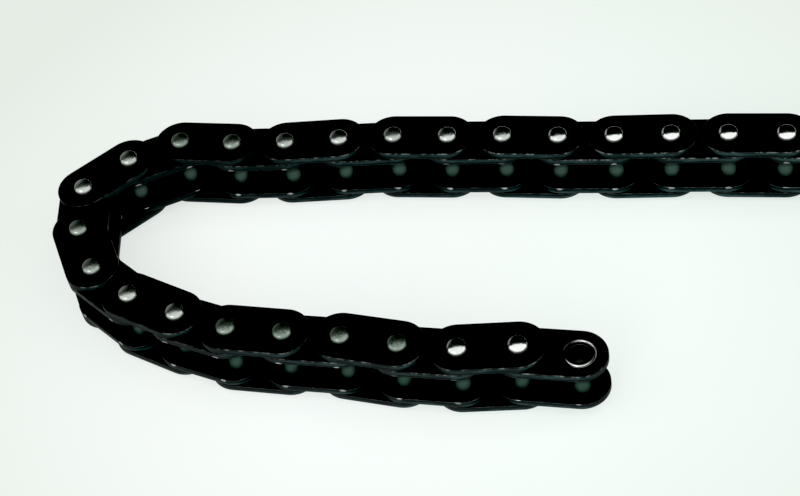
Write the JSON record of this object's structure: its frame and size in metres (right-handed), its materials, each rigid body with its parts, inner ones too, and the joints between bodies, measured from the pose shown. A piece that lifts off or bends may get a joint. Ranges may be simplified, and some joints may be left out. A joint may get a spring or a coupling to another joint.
{
  "type": "roller drive chain",
  "caption": "Open length of plain motorcycle roller drive chain lying on its side in a U, black link plates on bright pins, with bushes and free-turning rollers and an inner link at each end.",
  "frame": {"origin": "centre of the chain's box, on the plane that the pins stand on", "axes": "+X along the long straight strand, away from the bend; +Z along the pins, up from the plane the chain lies on; +Y from the short free strand to the long strand"},
  "size_m": [0.185, 0.073, 0.0172],
  "materials": {
    "outer_plate": "black oxide, semi-gloss",
    "inner_plate": "black oxide, semi-gloss",
    "pin": "bright ground steel",
    "bush": "ground steel, darkened",
    "roller": "dark hardened steel, glossy",
    "outer_link": "black oxide plates on bright pins",
    "inner_link": "black oxide plates on steel bushes"
  },
  "bodies": {
    "inner_link_01": {"inner_plate_top_01": "inner_plate", "inner_plate_bottom_01": "inner_plate", "bush_01": "bush", "bush_02": "bush"},
    "outer_link_01": {"outer_plate_top_01": "outer_plate", "outer_plate_bottom_01": "outer_plate", "pin_01": "pin", "pin_02": "pin"},
    "inner_link_02": {"inner_plate_top_02": "inner_plate", "inner_plate_bottom_02": "inner_plate", "bush_03": "bush", "bush_04": "bush"},
    "outer_link_02": {"outer_link_02": "outer_link"},
    "inner_link_03": {"inner_link_03": "inner_link"},
    "outer_link_03": {"outer_link_03": "outer_link"},
    "inner_link_04": {"inner_link_04": "inner_link"},
    "outer_link_04": {"outer_link_04": "outer_link"},
    "inner_link_05": {"inner_link_05": "inner_link"},
    "outer_link_05": {"outer_link_05": "outer_link"},
    "inner_link_06": {"inner_link_06": "inner_link"},
    "outer_link_06": {"outer_link_06": "outer_link"},
    "inner_link_07": {"inner_link_07": "inner_link"},
    "outer_link_07": {"outer_link_07": "outer_link"},
    "inner_link_08": {"inner_link_08": "inner_link"},
    "outer_link_08": {"outer_link_08": "outer_link"},
    "inner_link_09": {"inner_link_09": "inner_link"},
    "outer_link_09": {"outer_link_09": "outer_link"},
    "inner_link_10": {"inner_link_10": "inner_link"},
    "outer_link_10": {"outer_link_10": "outer_link"},
    "inner_link_11": {"inner_link_11": "inner_link"},
    "outer_link_11": {"outer_link_11": "outer_link"},
    "inner_link_12": {"inner_link_12": "inner_link"},
    "outer_link_12": {"outer_link_12": "outer_link"},
    "inner_link_13": {"inner_link_13": "inner_link"},
    "roller_01": {"roller_01": "roller"},
    "roller_02": {"roller_02": "roller"},
    "roller_03": {"roller_03": "roller"},
    "roller_04": {"roller_04": "roller"},
    "roller_05": {"roller_05": "roller"},
    "roller_06": {"roller_06": "roller"},
    "roller_07": {"roller_07": "roller"},
    "roller_08": {"roller_08": "roller"},
    "roller_09": {"roller_09": "roller"},
    "roller_10": {"roller_10": "roller"},
    "roller_11": {"roller_11": "roller"},
    "roller_12": {"roller_12": "roller"},
    "roller_13": {"roller_13": "roller"},
    "roller_14": {"roller_14": "roller"},
    "roller_15": {"roller_15": "roller"},
    "roller_16": {"roller_16": "roller"},
    "roller_17": {"roller_17": "roller"},
    "roller_18": {"roller_18": "roller"},
    "roller_19": {"roller_19": "roller"},
    "roller_20": {"roller_20": "roller"},
    "roller_21": {"roller_21": "roller"},
    "roller_22": {"roller_22": "roller"},
    "roller_23": {"roller_23": "roller"},
    "roller_24": {"roller_24": "roller"},
    "roller_25": {"roller_25": "roller"},
    "roller_26": {"roller_26": "roller"}
  },
  "joints": [
    {"name": "link_hinge_01", "type": "hinge", "parent": "outer_link_01", "child": "inner_link_01", "pos_m": [0.01821, -0.02951, 0.0086], "axis": [0, 0, -1], "range_deg": [-85, 70]},
    {"name": "link_hinge_02", "type": "hinge", "parent": "inner_link_02", "child": "outer_link_01", "pos_m": [0.00554, -0.0304, 0.0086], "axis": [0, 0, -1], "range_deg": [-70, 85]},
    {"name": "link_hinge_03", "type": "hinge", "parent": "outer_link_02", "child": "inner_link_02", "pos_m": [-0.00712, -0.02951, 0.0086], "axis": [0, 0, 1], "range_deg": [-85, 75]},
    {"name": "link_hinge_04", "type": "hinge", "parent": "inner_link_03", "child": "outer_link_02", "pos_m": [-0.01967, -0.02753, 0.0086], "axis": [0, 0, 1], "range_deg": [-75, 65]},
    {"name": "link_hinge_05", "type": "hinge", "parent": "outer_link_03", "child": "inner_link_03", "pos_m": [-0.03234, -0.02664, 0.0086], "axis": [0, 0, -1], "range_deg": [-45, 80]},
    {"name": "link_hinge_06", "type": "hinge", "parent": "inner_link_04", "child": "outer_link_03", "pos_m": [-0.04499, -0.02553, 0.0086], "axis": [0, 0, -1], "range_deg": [-35, 90]},
    {"name": "link_hinge_07", "type": "hinge", "parent": "outer_link_04", "child": "inner_link_04", "pos_m": [-0.05707, -0.02161, 0.0086], "axis": [0, 0, 1], "range_deg": [-85, 30]},
    {"name": "link_hinge_08", "type": "hinge", "parent": "inner_link_05", "child": "outer_link_04", "pos_m": [-0.06876, -0.01665, 0.0086], "axis": [0, 0, -1], "range_deg": [-25, 90]},
    {"name": "link_hinge_09", "type": "hinge", "parent": "outer_link_05", "child": "inner_link_05", "pos_m": [-0.0789, -0.009, 0.0086], "axis": [0, 0, 1], "range_deg": [-105, 20]},
    {"name": "link_hinge_10", "type": "hinge", "parent": "inner_link_06", "child": "outer_link_05", "pos_m": [-0.08467, 0.00231, 0.0086], "axis": [0, 0, -1], "range_deg": [-20, 95]},
    {"name": "link_hinge_11", "type": "hinge", "parent": "outer_link_06", "child": "inner_link_06", "pos_m": [-0.08643, 0.01489, 0.0086], "axis": [0, 0, -1], "range_deg": [-20, 130]},
    {"name": "link_hinge_12", "type": "hinge", "parent": "inner_link_07", "child": "outer_link_06", "pos_m": [-0.0773, 0.02371, 0.0086], "axis": [0, 0, 1], "range_deg": [-95, 20]},
    {"name": "link_hinge_13", "type": "hinge", "parent": "inner_link_07", "child": "outer_link_07", "pos_m": [-0.06588, 0.02928, 0.0086], "axis": [0, 0, -1], "range_deg": [-105, 25]},
    {"name": "link_hinge_14", "type": "hinge", "parent": "outer_link_07", "child": "inner_link_08", "pos_m": [-0.0532, 0.02861, 0.0086], "axis": [0, 0, 1], "range_deg": [-25, 75]},
    {"name": "link_hinge_15", "type": "hinge", "parent": "inner_link_08", "child": "outer_link_08", "pos_m": [-0.0405, 0.02883, 0.0086], "axis": [0, 0, -1], "range_deg": [-75, 30]},
    {"name": "link_hinge_16", "type": "hinge", "parent": "outer_link_08", "child": "inner_link_09", "pos_m": [-0.02783, 0.02972, 0.0086], "axis": [0, 0, 1], "range_deg": [-35, 80]},
    {"name": "link_hinge_17", "type": "hinge", "parent": "inner_link_09", "child": "outer_link_09", "pos_m": [-0.01515, 0.03039, 0.0086], "axis": [0, 0, -1], "range_deg": [-80, 40]},
    {"name": "link_hinge_18", "type": "hinge", "parent": "outer_link_09", "child": "inner_link_10", "pos_m": [-0.00245, 0.03016, 0.0086], "axis": [0, 0, -1], "range_deg": [-75, 50]},
    {"name": "link_hinge_19", "type": "hinge", "parent": "inner_link_10", "child": "outer_link_10", "pos_m": [0.01025, 0.03016, 0.0086], "axis": [0, 0, 1], "range_deg": [-55, 80]},
    {"name": "link_hinge_20", "type": "hinge", "parent": "outer_link_10", "child": "inner_link_11", "pos_m": [0.02294, 0.02972, 0.0086], "axis": [0, 0, 1], "range_deg": [-70, 75]},
    {"name": "link_hinge_21", "type": "hinge", "parent": "inner_link_11", "child": "outer_link_11", "pos_m": [0.03564, 0.02972, 0.0086], "axis": [0, 0, -1], "range_deg": [-75, 80]},
    {"name": "link_hinge_22", "type": "hinge", "parent": "outer_link_11", "child": "inner_link_12", "pos_m": [0.04834, 0.02994, 0.0086], "axis": [0, 0, 1], "range_deg": [-75, 80]},
    {"name": "link_hinge_23", "type": "hinge", "parent": "inner_link_12", "child": "outer_link_12", "pos_m": [0.06104, 0.02994, 0.0086], "axis": [0, 0, 1], "range_deg": [-75, 80]},
    {"name": "link_hinge_24", "type": "hinge", "parent": "outer_link_12", "child": "inner_link_13", "pos_m": [0.07374, 0.02972, 0.0086], "axis": [0, 0, -1], "range_deg": [-80, 80]},
    {"name": "roller_spin_01", "type": "hinge", "parent": "inner_link_01", "child": "roller_01", "pos_m": [0.03088, -0.0304, 0.0086], "axis": [0, 0, 1], "continuous": true},
    {"name": "roller_spin_02", "type": "hinge", "parent": "inner_link_01", "child": "roller_02", "pos_m": [0.01821, -0.02951, 0.0086], "axis": [0, 0, 1], "continuous": true},
    {"name": "roller_spin_03", "type": "hinge", "parent": "inner_link_02", "child": "roller_03", "pos_m": [0.00554, -0.0304, 0.0086], "axis": [0, 0, 1], "continuous": true},
    {"name": "roller_spin_04", "type": "hinge", "parent": "inner_link_02", "child": "roller_04", "pos_m": [-0.00712, -0.02951, 0.0086], "axis": [0, 0, 1], "continuous": true},
    {"name": "roller_spin_05", "type": "hinge", "parent": "inner_link_03", "child": "roller_05", "pos_m": [-0.01967, -0.02753, 0.0086], "axis": [0, 0, 1], "continuous": true},
    {"name": "roller_spin_06", "type": "hinge", "parent": "inner_link_03", "child": "roller_06", "pos_m": [-0.03234, -0.02664, 0.0086], "axis": [0, 0, 1], "continuous": true},
    {"name": "roller_spin_07", "type": "hinge", "parent": "inner_link_04", "child": "roller_07", "pos_m": [-0.04499, -0.02553, 0.0086], "axis": [0, 0, 1], "continuous": true},
    {"name": "roller_spin_08", "type": "hinge", "parent": "inner_link_04", "child": "roller_08", "pos_m": [-0.05707, -0.02161, 0.0086], "axis": [0, 0, 1], "continuous": true},
    {"name": "roller_spin_09", "type": "hinge", "parent": "inner_link_05", "child": "roller_09", "pos_m": [-0.06876, -0.01665, 0.0086], "axis": [0, 0, 1], "continuous": true},
    {"name": "roller_spin_10", "type": "hinge", "parent": "inner_link_05", "child": "roller_10", "pos_m": [-0.0789, -0.009, 0.0086], "axis": [0, 0, 1], "continuous": true},
    {"name": "roller_spin_11", "type": "hinge", "parent": "inner_link_06", "child": "roller_11", "pos_m": [-0.08467, 0.00231, 0.0086], "axis": [0, 0, 1], "continuous": true},
    {"name": "roller_spin_12", "type": "hinge", "parent": "inner_link_06", "child": "roller_12", "pos_m": [-0.08643, 0.01489, 0.0086], "axis": [0, 0, 1], "continuous": true},
    {"name": "roller_spin_13", "type": "hinge", "parent": "inner_link_07", "child": "roller_13", "pos_m": [-0.0773, 0.02371, 0.0086], "axis": [0, 0, 1], "continuous": true},
    {"name": "roller_spin_14", "type": "hinge", "parent": "inner_link_07", "child": "roller_14", "pos_m": [-0.06588, 0.02928, 0.0086], "axis": [0, 0, 1], "continuous": true},
    {"name": "roller_spin_15", "type": "hinge", "parent": "inner_link_08", "child": "roller_15", "pos_m": [-0.0532, 0.02861, 0.0086], "axis": [0, 0, 1], "continuous": true},
    {"name": "roller_spin_16", "type": "hinge", "parent": "inner_link_08", "child": "roller_16", "pos_m": [-0.0405, 0.02883, 0.0086], "axis": [0, 0, 1], "continuous": true},
    {"name": "roller_spin_17", "type": "hinge", "parent": "inner_link_09", "child": "roller_17", "pos_m": [-0.02783, 0.02972, 0.0086], "axis": [0, 0, 1], "continuous": true},
    {"name": "roller_spin_18", "type": "hinge", "parent": "inner_link_09", "child": "roller_18", "pos_m": [-0.01515, 0.03039, 0.0086], "axis": [0, 0, 1], "continuous": true},
    {"name": "roller_spin_19", "type": "hinge", "parent": "inner_link_10", "child": "roller_19", "pos_m": [-0.00245, 0.03016, 0.0086], "axis": [0, 0, 1], "continuous": true},
    {"name": "roller_spin_20", "type": "hinge", "parent": "inner_link_10", "child": "roller_20", "pos_m": [0.01025, 0.03016, 0.0086], "axis": [0, 0, 1], "continuous": true},
    {"name": "roller_spin_21", "type": "hinge", "parent": "inner_link_11", "child": "roller_21", "pos_m": [0.02294, 0.02972, 0.0086], "axis": [0, 0, 1], "continuous": true},
    {"name": "roller_spin_22", "type": "hinge", "parent": "inner_link_11", "child": "roller_22", "pos_m": [0.03564, 0.02972, 0.0086], "axis": [0, 0, 1], "continuous": true},
    {"name": "roller_spin_23", "type": "hinge", "parent": "inner_link_12", "child": "roller_23", "pos_m": [0.04834, 0.02994, 0.0086], "axis": [0, 0, 1], "continuous": true},
    {"name": "roller_spin_24", "type": "hinge", "parent": "inner_link_12", "child": "roller_24", "pos_m": [0.06104, 0.02994, 0.0086], "axis": [0, 0, 1], "continuous": true},
    {"name": "roller_spin_25", "type": "hinge", "parent": "inner_link_13", "child": "roller_25", "pos_m": [0.07374, 0.02972, 0.0086], "axis": [0, 0, 1], "continuous": true},
    {"name": "roller_spin_26", "type": "hinge", "parent": "inner_link_13", "child": "roller_26", "pos_m": [0.08643, 0.0295, 0.0086], "axis": [0, 0, 1], "continuous": true}
  ]
}
